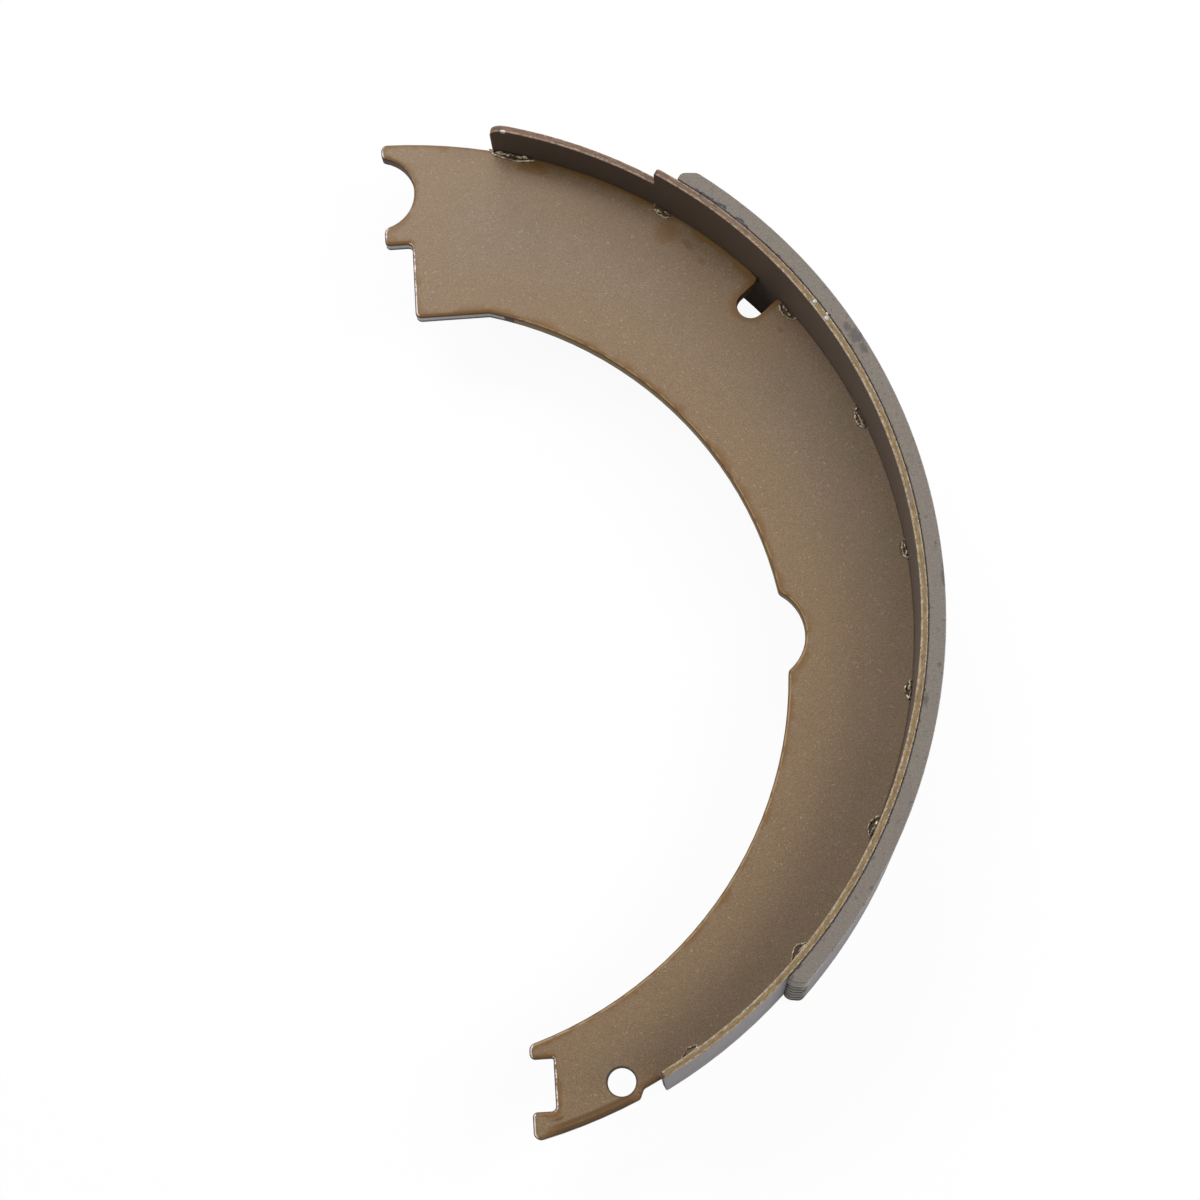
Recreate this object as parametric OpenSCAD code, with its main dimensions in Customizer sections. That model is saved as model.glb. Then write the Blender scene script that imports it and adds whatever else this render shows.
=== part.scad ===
// Bonded brake shoe for a 12 in by 2 in drum brake, in millimetres.
// Origin: the drum's centre, on the web's middle plane. Z runs along the drum's axis, and the anchor
// post stands on +Y. Angles are measured about the drum's centre, from +X towards +Y.

/* [Drum and width] */
// Radius that the lining is ground to, half of the drum's bore
drum_r = 152.4; // [146:0.2:160]
// Width of the table and the lining along the drum's axis
shoe_w = 50.8; // [44:0.2:58]

/* [Lining] */
// Thickness of the friction lining
lining_t = 4.6; // [3:0.1:6]
// Thickness of the adhesive between lining and table
bond_t = 0.2; // [0.1:0.05:0.5]
// Distance that the adhesive stops short of the lining's edges
bond_inset = 0.5; // [0.2:0.1:2]
// Angle of the lining's end on the anchor side
lining_top_deg = 53.6; // [48:0.1:58]
// Angle of the lining's end on the adjuster side
lining_bottom_deg = -46.4; // [-52:0.1:-40]
// Length of the bevel at the anchor end
top_bevel_len = 3.9; // [2:0.1:6]
// Depth of the bevel at the anchor end
top_bevel_depth = 2.5; // [1.5:0.1:2.8]
// Length of the bevel at the adjuster end
bottom_bevel_len = 2.2; // [1:0.1:5]
// Depth of the bevel at the adjuster end
bottom_bevel_depth = 2.8; // [1.5:0.1:2.9]

/* [Table] */
// Thickness of the table's sheet
table_t = 2; // [1.6:0.1:3]
// Angle of the table's end on the anchor side
table_top_deg = 75.9; // [70:0.1:80]
// Angle of the table's end on the adjuster side
table_bottom_deg = -62.8; // [-66:0.1:-58]
// Angle from the lining's anchor end to the step where the table narrows
step_gap_deg = 2.6; // [1.5:0.1:5]
// Width of the narrow tongue past the step
tongue_w = 35; // [28:0.5:42]
// Corner radius at the tongue's end
tongue_corner_r = 2.8; // [1:0.1:4]
// Corner radius at the adjuster end and at the step
table_corner_r = 1.4; // [0.8:0.1:3]
// Fillet in the inner corner of the step
step_fillet_r = 1; // [0.5:0.1:2]

/* [Web] */
// Thickness of the web's plate
web_t = 4.5; // [3.5:0.1:6]
// Depth of the web at the top of its round inner edge
web_depth_top = 49.7; // [46:0.1:52]
// Depth of the web at the bottom of its round inner edge
web_depth_bottom = 22.6; // [20:0.1:25]
// Radius of the shallow notch in the inner edge
notch_r = 13.6; // [11:0.1:16]
// Depth of the shallow notch
notch_depth = 5.4; // [4:0.1:7]
// Angle of the shallow notch
notch_deg = -5; // [-12:0.1:2]
// Radius of the notch's upper lip
notch_top_lip_r = 2; // [0.8:0.1:3]
// Radius of the notch's lower lip
notch_bottom_lip_r = 1.2; // [0.8:0.1:3]

/* [Anchor end] */
// Radius of the seat that takes the anchor post
post_r = 11.05; // [10:0.05:12]
// Distance of the post's centre inside the web's outer edge
post_drop = 15.1; // [14.5:0.1:17]
// Distance of the horn faces from the drum's vertical centre plane
horn_x = 1.9; // [1:0.1:4]
// Distance from the post's centre down to the lower horn's underside
horn_drop = 16.3; // [15:0.1:18]
// Distance of the neck below the horn from the vertical centre plane
neck_x = 9.8; // [7:0.1:13]
// Distance from the post's centre down to the foot of the neck
foot_drop = 39.1; // [36:0.1:42]
// Radius of the upper horn's outer corner
horn_top_r = 1.8; // [0.8:0.1:2.2]
// Radius of the upper horn's corner at the seat
seat_top_r = 1.3; // [0.6:0.1:1.6]
// Radius of the lower horn's corner at the seat
seat_bottom_r = 2.2; // [0.8:0.1:2.6]
// Radius of the lower horn's outer corner
horn_bottom_r = 1.4; // [0.6:0.1:1.8]
// Fillet between the lower horn and the neck
neck_fillet_r = 1.6; // [0.6:0.1:3]
// Radius of the neck's lower corner
foot_r = 1.7; // [0.8:0.1:4]

/* [Adjuster end] */
// Distance of the tine faces from the drum's vertical centre plane
tine_x = 31.4; // [28:0.1:35]
// Angle from the table's end to the tail's shoulder
tail_gap_deg = 2.6; // [1.5:0.1:4]
// Corner radius and fillet of the shoulder
shoulder_r = 0.9; // [0.4:0.1:0.95]
// Width of the fork that takes the adjuster
fork_w = 14.2; // [12.5:0.1:15.5]
// Depth of the fork
fork_depth = 6.4; // [4.5:0.1:8]
// Distance of the fork's centre line above the bottom of the web's outer circle
fork_rise = 16.3; // [15.5:0.1:17]
// Fillet at the fork's upper inner corner
fork_top_fillet_r = 0.7; // [0.4:0.1:2]
// Fillet at the fork's lower inner corner
fork_bottom_fillet_r = 1.3; // [0.4:0.1:2]
// Radius of the tines' corners at the fork's mouth
tine_mouth_r = 1.3; // [0.5:0.1:1.5]
// Radius of the upper tine's outer corner
tine_top_r = 1.9; // [0.5:0.1:2]
// Radius of the lower tine's outer corner
tine_bottom_r = 1.9; // [0.5:0.1:2.5]
// Radius of the round hole for the adjuster spring
hole_r = 3.9; // [3:0.1:4.5]
// Distance of the hole's centre inside the tail's outer edge
hole_edge = 6.3; // [5.6:0.1:8]
// Angle from the shoulder to the hole
hole_gap_deg = 1.3; // [1:0.1:4]

/* [Spring slot] */
// Angle of the slot
slot_deg = 39.6; // [36:0.1:43]
// Width of the slot
slot_w = 7.9; // [6:0.1:9]
// Depth of the slot from the web's outer edge
slot_depth = 11.3; // [9:0.1:14]
// Radius of the slot's upper mouth corner
slot_top_r = 1.9; // [0.6:0.1:2.4]
// Radius of the slot's lower mouth corner
slot_bottom_r = 1; // [0.5:0.1:2]

/* [Welds] */
// Reach of a weld nugget on the web and on the table
weld_r = 2.4; // [1.5:0.1:3]
// Length of a nugget
weld_len = 6.6; // [5:0.1:8]
// Angle of the first nugget of the even row
weld_row_deg = 20.9; // [18:0.1:24]
// Nuggets in the even row
weld_row_n = 6; // [4:1:8]
// Angle from the last nugget of the row to the table's end
weld_end_gap_deg = 4.2; // [2:0.1:6]
// Angle of the nugget past the slot, counted from the slot
weld_over_slot_deg = 15.3; // [12:0.1:18]
// Room between the slot's lower corner and the nugget beside it
weld_slot_gap = 0.6; // [0.3:0.1:2]
// Room between the tongue's end and the last nugget
weld_tip_gap = 0.3; // [0.1:0.1:2]
// Length of the last nugget, where two have run together
weld_tip_len = 11.9; // [7:0.1:14]

/* [Hidden] */
$fn = 180;

lining_in_r = drum_r - lining_t;
table_out_r = lining_in_r - bond_t;
web_r = table_out_r - table_t;
// The tail stands as proud of the web's edge as the table does
tail_r = table_out_r;
step_deg = lining_top_deg + step_gap_deg;
// The round inner edge, from the web's two depths
inner_r = web_r - (web_depth_top + web_depth_bottom) / 2;
inner_edge_c = [0, (web_depth_bottom - web_depth_top) / 2];
post = [0, web_r - post_drop];
horn_under_y = post.y - horn_drop;
foot_y = post.y - foot_drop;
fork_x = tine_x + fork_depth;
fork_top_y = fork_rise - web_r + fork_w / 2;
fork_bottom_y = fork_rise - web_r - fork_w / 2;
shoulder_deg = table_bottom_deg - tail_gap_deg;
// The shoulder is as high as the sheet is thick, and has to hold a rounding and a fillet
shoulder_round_r = min(shoulder_r, 0.45 * table_t);
hole = (tail_r - hole_edge) * way(shoulder_deg - hole_gap_deg);
slot_end_r = web_r - slot_depth + slot_w / 2;
notch = (inner_edge(notch_deg) + notch_depth - notch_r) * way(notch_deg);
bond_end_deg = arc_deg(bond_inset, lining_in_r);
weld_pitch_deg = (weld_row_deg - table_bottom_deg - weld_end_gap_deg) / (weld_row_n - 1);
weld_slot_deg = slot_deg - arc_deg(slot_w / 2 + slot_bottom_r + weld_slot_gap + weld_len / 2, web_r);
weld_tip_deg = table_top_deg - arc_deg(weld_tip_gap + weld_tip_len / 2, web_r);
// Angle and length of each nugget on a side
weld_spots = concat(
    [for (i = [0:weld_row_n - 1]) [weld_row_deg - i * weld_pitch_deg, weld_len]],
    [[weld_slot_deg, weld_len], [slot_deg + weld_over_slot_deg, weld_len]],
    [[weld_tip_deg, weld_tip_len]]
);
// Clearance between a nugget and the table's curved face
weld_seat = 0.02;
// Facets of a nugget, and of the long curve that it is cut along
nugget_fn = 96;
seat_fn = 720;
// Reach of the shapes that cut the whole part, and how far a cutter passes a face
far = 2 * drum_r;
past = 1;
// How far the sheet is drawn past its ends before they are cut
over_deg = 1;
// Extra radius with which a rounding crosses the face beside it
hair = 0.002;

function way(a) = [cos(a), sin(a)];
function turn(v) = atan2(v.y, v.x);
// Degrees that a length takes up on a circle
function arc_deg(len, r) = len / r * 180 / PI;
// Distance from the drum's centre to the round inner edge, in direction a
function inner_edge(a) =
    inner_edge_c.y * sin(a) + sqrt(inner_r * inner_r - pow(inner_edge_c.y * cos(a), 2));
// Centre of a corner circle that touches the line x = x and lies at distance d from c, above or below it
function beside(x, c, d, up) = [x, c.y + up * sqrt(d * d - pow(x - c.x, 2))];
// Where two circles meet: s = 1 is the point on the left of the way from c1 to c2, and -1 on its right
function meet(c1, r1, c2, r2, s) =
    let (
        d = norm(c2 - c1),
        u = (c2 - c1) / d,
        k = (d * d + r1 * r1 - r2 * r2) / (2 * d),
        h = sqrt(r1 * r1 - k * k)
    )
    c1 + k * u + s * h * [-u.y, u.x];

// What lies between a corner and the circle that rounds it, from angle a1 up to a2 about c.
// It is taken off an outer corner, and filled into an inner one.
module corner(c, r, a1, a2) {
    half = ((a2 - a1 + 720) % 360) / 2;
    // A tenth past the sharp corner, so that no sliver is left there
    reach = 1.1 * r / cos(half);
    difference() {
        polygon([
            c,
            c + reach * way(a1),
            c + reach / cos(half) * way(a1 + half),
            c + reach * way(a1 + 2 * half)
        ]);
        translate(c) circle(r = r);
    }
}

// The plate's outline before its notches: the drum side, the tail and the open side
module web_blank() {
    difference() {
        union() {
            circle(r = web_r);
            intersection() {
                circle(r = tail_r);
                rotate([0, 0, shoulder_deg]) translate([0, -far]) square(far);
            }
        }
        // The round inner edge stops at the foot of the neck
        intersection() {
            translate(inner_edge_c) circle(r = inner_r);
            translate([-far, foot_y - 2 * far]) square(2 * far);
        }
        translate([-far, 0]) square([far + horn_x, far]);
        translate([-far, 0]) square([far + neck_x, horn_under_y]);
        translate([-far, -far]) square([far + tine_x, far]);
    }
}

// What the blank loses: the post's seat, the shallow notch, the fork and the spring slot
module web_notches() {
    translate(post) circle(r = post_r);
    translate(notch) circle(r = notch_r);
    translate([fork_x - far, fork_bottom_y]) square([far, fork_w]);
    rotate([0, 0, slot_deg]) {
        translate([slot_end_r, 0]) circle(r = slot_w / 2);
        translate([slot_end_r, -slot_w / 2]) square([slot_depth, slot_w]);
    }
}

// Inner corners are filled to a radius
module web_fillets() {
    corner([neck_x - neck_fillet_r, horn_under_y - neck_fillet_r], neck_fillet_r, 0, 90);
    corner([fork_x - fork_top_fillet_r, fork_top_y - fork_top_fillet_r], fork_top_fillet_r, 0, 90);
    corner(
        [fork_x - fork_bottom_fillet_r, fork_bottom_y + fork_bottom_fillet_r],
        fork_bottom_fillet_r, 270, 360
    );
    shoulder_in = [sqrt(pow(web_r + shoulder_round_r, 2) - pow(shoulder_round_r, 2)), shoulder_round_r];
    rotate([0, 0, shoulder_deg]) corner(shoulder_in, shoulder_round_r, turn(-shoulder_in), 270);
}

// Outer corners are rounded off
module web_roundings() {
    horn_top = beside(horn_x + horn_top_r, [0, 0], web_r - horn_top_r, 1);
    corner(horn_top, horn_top_r, turn(horn_top), 180);
    seat_top = beside(horn_x + seat_top_r, post, post_r + seat_top_r, 1);
    corner(seat_top, seat_top_r, 180, turn(post - seat_top));
    seat_bottom = beside(horn_x + seat_bottom_r, post, post_r + seat_bottom_r, -1);
    corner(seat_bottom, seat_bottom_r, turn(post - seat_bottom), 180);
    corner([horn_x + horn_bottom_r, horn_under_y + horn_bottom_r], horn_bottom_r, 180, 270);
    corner([neck_x + foot_r, foot_y + foot_r], foot_r, 180, 270);

    lip_top = meet(inner_edge_c, inner_r + notch_top_lip_r, notch, notch_r + notch_top_lip_r, 1);
    corner(lip_top, notch_top_lip_r, turn(inner_edge_c - lip_top), turn(notch - lip_top));
    lip_bottom =
        meet(inner_edge_c, inner_r + notch_bottom_lip_r, notch, notch_r + notch_bottom_lip_r, -1);
    corner(lip_bottom, notch_bottom_lip_r, turn(notch - lip_bottom), turn(inner_edge_c - lip_bottom));

    tine_top = beside(tine_x + tine_top_r, inner_edge_c, inner_r + tine_top_r, -1);
    corner(tine_top, tine_top_r, turn(inner_edge_c - tine_top), 180);
    corner([tine_x + tine_mouth_r, fork_top_y + tine_mouth_r], tine_mouth_r, 180, 270);
    corner([tine_x + tine_mouth_r, fork_bottom_y - tine_mouth_r], tine_mouth_r, 90, 180);
    tine_bottom = beside(tine_x + tine_bottom_r, [0, 0], tail_r - tine_bottom_r, -1);
    corner(tine_bottom, tine_bottom_r, 180, turn(tine_bottom));

    shoulder_out = [sqrt(pow(tail_r - shoulder_round_r, 2) - pow(shoulder_round_r, 2)), -shoulder_round_r];
    rotate([0, 0, shoulder_deg]) corner(shoulder_out, shoulder_round_r, turn(shoulder_out), 90);
    rotate([0, 0, slot_deg]) {
        slot_top_y = slot_w / 2 + slot_top_r;
        slot_top = [sqrt(pow(web_r - slot_top_r, 2) - pow(slot_top_y, 2)), slot_top_y];
        corner(slot_top, slot_top_r, 270, turn(slot_top));
        slot_bottom_y = slot_w / 2 + slot_bottom_r;
        slot_bottom = [sqrt(pow(web_r - slot_bottom_r, 2) - pow(slot_bottom_y, 2)), -slot_bottom_y];
        corner(slot_bottom, slot_bottom_r, turn(slot_bottom), 90);
    }
}

module web() {
    color([0.49, 0.42, 0.34])
        linear_extrude(web_t, center = true)
            difference() {
                union() {
                    difference() {
                        web_blank();
                        web_notches();
                    }
                    web_fillets();
                }
                web_roundings();
                translate(hole) circle(r = hole_r);
            }
}

// Band of a tube, h wide about the middle plane, from angle a1 to a2
module arc_band(r_in, r_out, h, a1, a2) {
    rotate([0, 0, a1])
        rotate_extrude(angle = a2 - a1)
            translate([r_in, -h / 2]) square([r_out - r_in, h]);
}

// Cuts a flat shape through the sheet at angle a. The shape's x runs up the sheet and its y along the
// drum's axis; span is how far past a it has to reach.
module through_sheet(a, span = 0) {
    in_x = web_r * cos(span) - past;
    rotate([0, 0, a])
        translate([in_x, 0, 0])
            rotate([90, 0, 90])
                linear_extrude(table_out_r + past - in_x) children();
}

// All that lies past a sheet's end at x = 0, with its two corners rounded
module past_end(w, r) {
    translate([0, -shoe_w]) square([far, 2 * shoe_w]);
    corner([-r, w / 2 - r], r + hair, 0, 90);
    corner([-r, r - w / 2], r + hair, 270, 360);
}

module table() {
    fillet_z = tongue_w / 2 + step_fillet_r;
    color([0.40, 0.34, 0.28])
        difference() {
            arc_band(web_r, table_out_r, shoe_w, table_bottom_deg - over_deg, table_top_deg + over_deg);
            through_sheet(table_top_deg) past_end(tongue_w, tongue_corner_r);
            through_sheet(table_bottom_deg) rotate([0, 0, 180]) past_end(shoe_w, table_corner_r);
            // The tongue stays, with a fillet on both sides of its root
            through_sheet(step_deg, table_top_deg + over_deg - step_deg)
                difference() {
                    past_end(shoe_w, table_corner_r);
                    translate([-past, -tongue_w / 2]) square([far + 2 * past, tongue_w]);
                    corner([step_fillet_r, fillet_z], step_fillet_r, 180, 270);
                    corner([step_fillet_r, -fillet_z], step_fillet_r, 90, 180);
                }
        }
}

// Wedge that bevels the lining's end at angle a; end is 1 where the lining lies below a
module end_bevel(a, len, depth, end) {
    slope = [depth, -end * len];
    out = [len, end * depth];
    low = [drum_r - depth, 0];
    rotate([0, 0, a])
        linear_extrude(shoe_w + 2 * past, center = true)
            polygon([low - slope, low + 2 * slope, low + 2 * slope + out, low - slope + out]);
}

module lining() {
    color([0.55, 0.52, 0.49])
        difference() {
            arc_band(lining_in_r, drum_r, shoe_w, lining_bottom_deg, lining_top_deg);
            end_bevel(lining_top_deg, top_bevel_len, top_bevel_depth, 1);
            end_bevel(lining_bottom_deg, bottom_bevel_len, bottom_bevel_depth, -1);
        }
}

module bond_film() {
    color([0.13, 0.12, 0.12])
        arc_band(
            table_out_r, lining_in_r, shoe_w - 2 * bond_inset,
            lining_bottom_deg + bond_end_deg, lining_top_deg - bond_end_deg
        );
}

// Weld nugget in the corner between the web and the table: a rounded bar that lies flush on the web
// and a hair clear of the table's curved face
module nugget(a, len, side) {
    $fn = nugget_fn;
    straight = len / 2 - weld_r;
    rotate([0, 0, a])
        intersection() {
            translate([web_r, 0, side * web_t / 2]) {
                rotate([90, 0, 0]) cylinder(r = weld_r, h = 2 * straight, center = true);
                for (s = [-1, 1]) translate([0, s * straight, 0]) sphere(r = weld_r);
            }
            translate([0, 0, side * (web_t + far) / 2])
                cylinder(r = web_r - weld_seat, h = far, center = true, $fn = seat_fn);
        }
}

module weld_nuggets(side) {
    color([0.58, 0.50, 0.40])
        for (spot = weld_spots) nugget(spot[0], spot[1], side);
}

web();
table();
lining();
bond_film();
weld_nuggets(1);  // near_weld_nuggets
weld_nuggets(-1);  // far_weld_nuggets
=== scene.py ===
import math

import bmesh
import bpy
from mathutils import Matrix, Vector, noise


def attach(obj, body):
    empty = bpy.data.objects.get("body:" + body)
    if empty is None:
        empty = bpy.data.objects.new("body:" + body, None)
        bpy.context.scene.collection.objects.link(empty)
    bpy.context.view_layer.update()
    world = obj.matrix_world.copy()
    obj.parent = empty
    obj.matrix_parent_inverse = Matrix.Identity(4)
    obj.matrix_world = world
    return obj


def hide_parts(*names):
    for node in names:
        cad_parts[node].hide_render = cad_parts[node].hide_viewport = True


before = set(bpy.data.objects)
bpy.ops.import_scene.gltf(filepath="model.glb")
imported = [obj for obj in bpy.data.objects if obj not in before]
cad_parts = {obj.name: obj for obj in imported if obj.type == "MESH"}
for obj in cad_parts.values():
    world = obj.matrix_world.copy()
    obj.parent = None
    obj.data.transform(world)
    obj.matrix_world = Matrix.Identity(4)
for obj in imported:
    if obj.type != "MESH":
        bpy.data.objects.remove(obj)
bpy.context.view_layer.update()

noise.seed_set(4)      # without it noise vectors differ from run to run
mm = 0.001
webHalf = 2.25 * mm
widthHalf = 25.4 * mm
tableIn, tableOut, liningOut = 145.6, 147.6, 152.4
tableTop, tableStep, tableBottom = 75.9, 56.2, -62.8      # degrees round the drum's axis
liningBottom = -46.4


def polar(radius, degrees, z=0.0):      # radius and z in metres
    a = math.radians(degrees)
    return Vector((radius * math.cos(a), radius * math.sin(a), z))


def angleOf(place):
    return math.degrees(math.atan2(place.y, place.x))


def radiusOf(place):
    return math.hypot(place.x, place.y) / mm


def turned(degrees, axis="Z"):
    return Matrix.Rotation(math.radians(degrees), 4, axis)


def mergedCopy(nodeName):      # a CAD node's loose triangles, joined, with flat faces made whole
    bm = bmesh.new()
    bm.from_mesh(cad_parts[nodeName].data)
    bmesh.ops.remove_doubles(bm, verts=bm.verts, dist=2e-6)
    bmesh.ops.dissolve_limit(bm, angle_limit=math.radians(0.3), verts=bm.verts, edges=bm.edges)
    bm.normal_update()
    return bm


def addPart(bm, part):      # joins a part that was made on its own
    mesh = bpy.data.meshes.new("part")
    part.to_mesh(mesh)
    part.free()
    bm.from_mesh(mesh)
    bpy.data.meshes.remove(mesh)


def closePart(part):
    bmesh.ops.holes_fill(part, edges=part.edges, sides=16)
    bmesh.ops.recalc_face_normals(part, faces=part.faces)


def bevel(bm, edges, offset, steps):
    bm.normal_update()
    made = bmesh.ops.bevel(bm, geom=edges, offset=offset * mm, offset_type="OFFSET", affect="EDGES",
                           segments=steps, profile=0.5, material=-1, clamp_overlap=False)
    bm.normal_update()
    return made["verts"]


def cutAt(bm, geom, place, normal):
    bmesh.ops.bisect_plane(bm, geom=geom, dist=1e-7, plane_co=place, plane_no=normal)


def cutAtAngle(bm, geom, degrees):      # through the drum's axis
    cutAt(bm, geom, (0, 0, 0), polar(1, degrees + 90))


def wholeOf(bm):
    return bm.verts[:] + bm.edges[:] + bm.faces[:]


def partsOf(faces):      # the faces with their edges and points
    edges = {edge for face in faces for edge in face.edges}
    verts = {vert for face in faces for vert in face.verts}
    return faces + list(edges) + list(verts)


def finishPiece(bm, name, material, nodes=(), creaseAngle=40, weighted=True):
    mesh = bpy.data.meshes.new(name)
    bm.to_mesh(mesh)
    bm.free()
    mesh.materials.clear()
    mesh.materials.append(material)
    for face in mesh.polygons:
        face.material_index = 0
        face.use_smooth = True
    mesh.set_sharp_from_angle(angle=math.radians(creaseAngle))
    piece = bpy.data.objects.new(name, mesh)
    bpy.context.scene.collection.objects.link(piece)
    if weighted:
        keep = piece.modifiers.new("normals", "WEIGHTED_NORMAL")
        keep.weight = 100
        keep.keep_sharp = True
    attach(piece, "root")
    if nodes:
        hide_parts(*nodes)
    return piece


# Short words for shader nodes

def setInputs(tree, node, inputs):
    for key, value in inputs.items():
        if isinstance(value, bpy.types.NodeSocket):
            tree.links.new(value, node.inputs[key])
        else:
            node.inputs[key].default_value = value
    return node


def put(tree, kind, inputs=None, **settings):
    node = tree.nodes.new("ShaderNode" + kind)
    for name, value in settings.items():
        setattr(node, name, value)
    return setInputs(tree, node, inputs or {})


def calc(tree, operation, *values):
    return put(tree, "Math", dict(enumerate(values)), operation=operation).outputs[0]


def vector(tree, operation, *values):
    return put(tree, "VectorMath", dict(enumerate(values)), operation=operation).outputs["Vector"]


def measure(tree, operation, *values):      # a length, distance or product of vectors
    return put(tree, "VectorMath", dict(enumerate(values)), operation=operation).outputs["Value"]


def ease(tree, value, start, end, low=0.0, high=1.0):      # goes from low at start to high at end
    inputs = {"Value": value, "From Min": start, "From Max": end, "To Min": low, "To Max": high}
    return put(tree, "MapRange", inputs, interpolation_type="SMOOTHSTEP").outputs["Result"]


def mix(tree, factor, first, second, mode="MIX"):
    inputs = {0: factor, 6: first, 7: second}
    return put(tree, "Mix", inputs, data_type="RGBA", blend_type=mode).outputs[2]


def cloud(tree, spot, scale, detail=3.0, roughness=0.55):
    inputs = {"Vector": spot, "Scale": scale, "Detail": detail, "Roughness": roughness}
    return put(tree, "TexNoise", inputs).outputs[0]


def times(tree, first, *others):      # a product
    for other in others:
        first = calc(tree, "MULTIPLY", first, other)
    return first


def between(tree, value, low, high):      # 1 between two limits
    return times(tree, calc(tree, "GREATER_THAN", value, low), calc(tree, "LESS_THAN", value, high))


def splitXyz(tree, value):
    return put(tree, "SeparateXYZ", {0: value}).outputs


def newGroup(name, inputs, outputs):
    group = bpy.data.node_groups.new(name, "ShaderNodeTree")
    for label, kind, value in inputs:
        socket = group.interface.new_socket(label, in_out="INPUT", socket_type="NodeSocket" + kind)
        socket.default_value = value
    for label, kind in outputs:
        group.interface.new_socket(label, in_out="OUTPUT", socket_type="NodeSocket" + kind)
    return group, group.nodes.new("NodeGroupInput"), group.nodes.new("NodeGroupOutput")


def endGroup(group, end, values):
    for label, value in values.items():
        group.links.new(value, end.inputs[label])
    return group


def useGroup(tree, group, inputs=None):
    node = tree.nodes.new("ShaderNodeGroup")
    node.node_tree = group
    return setInputs(tree, node, inputs or {}).outputs


# Where a point lies on the shoe: its place in mm, its distance from the drum's axis and its angle

def makePlaceGroup():
    group, _, end = newGroup("shoePlace", [], [
        ("Spot", "Vector"), ("Flat", "Vector"), ("Radius", "Float"), ("Angle", "Float"),
        ("Height", "Float")])
    coords = put(group, "TexCoord").outputs["Object"]
    spot = vector(group, "MULTIPLY", coords, (1 / mm, 1 / mm, 1 / mm))
    flat = vector(group, "MULTIPLY", coords, (1 / mm, 1 / mm, 0))
    x, y, height = splitXyz(group, spot)
    angle = calc(group, "DEGREES", calc(group, "ARCTAN2", y, x))
    radius = measure(group, "LENGTH", flat)
    return endGroup(group, end, {
        "Spot": spot, "Flat": flat, "Radius": radius, "Angle": angle, "Height": height})


# Fine grain, bright flakes and broad mottling, for paint and for the lining's compound

def makeGrainGroup():
    group, start, end = newGroup("flakeGrain", [
        ("Spot", "Vector", (0, 0, 0)), ("Grain size", "Float", 0.4), ("Grain depth", "Float", 0.2),
        ("Flake size", "Float", 1.0), ("Flake limit", "Float", 0.7), ("Mottle depth", "Float", 0.1)],
        [("Shade", "Float"), ("Flake", "Float"), ("Relief", "Float"), ("Broad", "Float")])
    given = start.outputs
    fine = cloud(group, given["Spot"], calc(group, "DIVIDE", 1.0, given["Grain size"]), 2.0, 0.7)
    broad = cloud(group, given["Spot"], 0.09, 3.0, 0.5)
    grains = cloud(group, given["Spot"], calc(group, "DIVIDE", 1.0, given["Flake size"]), 1.0, 0.5)
    flake = ease(group, grains, given["Flake limit"], calc(group, "ADD", given["Flake limit"], 0.06))
    fineShade = times(group, calc(group, "SUBTRACT", fine, 0.5), given["Grain depth"])
    broadShade = times(group, calc(group, "SUBTRACT", broad, 0.5), given["Mottle depth"])
    shade = calc(group, "ADD", 1.0, calc(group, "ADD", fineShade, broadShade))
    return endGroup(group, end, {"Shade": shade, "Flake": flake, "Relief": fine, "Broad": broad})


placeGroup = makePlaceGroup()
grainGroup = makeGrainGroup()
print("shader groups are made")


def newMaterial(name, **sockets):      # sockets are the shader's own values, the same all over
    material = bpy.data.materials.new(name)
    material.use_nodes = True
    tree = material.node_tree
    shader = tree.nodes["Principled BSDF"]
    for key, value in sockets.items():
        shader.inputs[key].default_value = value
    return material, tree, shader


def finishShader(tree, shader, colour, roughness, relief, strength, distance):
    tree.links.new(colour, shader.inputs["Base Color"])
    tree.links.new(roughness, shader.inputs["Roughness"])
    bump = put(tree, "Bump", {"Height": relief, "Strength": strength, "Distance": distance})
    tree.links.new(bump.outputs["Normal"], shader.inputs["Normal"])


def spotMask(tree, place, wobble, spots):      # 1 in a spot: angle, radius, half length, half height
    total = 0.0
    for angle, radius, along, across in spots:
        halfAngle = math.degrees(along / radius)
        a = calc(tree, "DIVIDE", calc(tree, "SUBTRACT", place["Angle"], angle), halfAngle)
        r = calc(tree, "DIVIDE", calc(tree, "SUBTRACT", place["Radius"], radius), across)
        away = calc(tree, "ADD", times(tree, a, a), times(tree, r, r))
        total = calc(tree, "MAXIMUM", total, ease(tree, calc(tree, "ADD", away, wobble), 1.3, 0.2))
    return total


# Where the plate is welded to the table, in degrees, and the size of the beads in mm

weld = {"row": [20.9, 5.0, -10.9, -26.8, -42.7, -58.6], "slotOne": 36.12, "upper": 54.9, "tip": 73.8,
        "length": 6.6, "tipLength": 13.0, "reach": 2.3, "lastHollow": -50,
        "small": (5.0, -10.9), "smallLength": 5.2, "smallReach": 1.85}
weldSpots = [(a, weld["smallLength"] if a in weld["small"] else weld["length"])
             for a in weld["row"] + [weld["slotOne"], weld["upper"]]]
weldSpots.append((weld["tip"], weld["tipLength"]))

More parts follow.
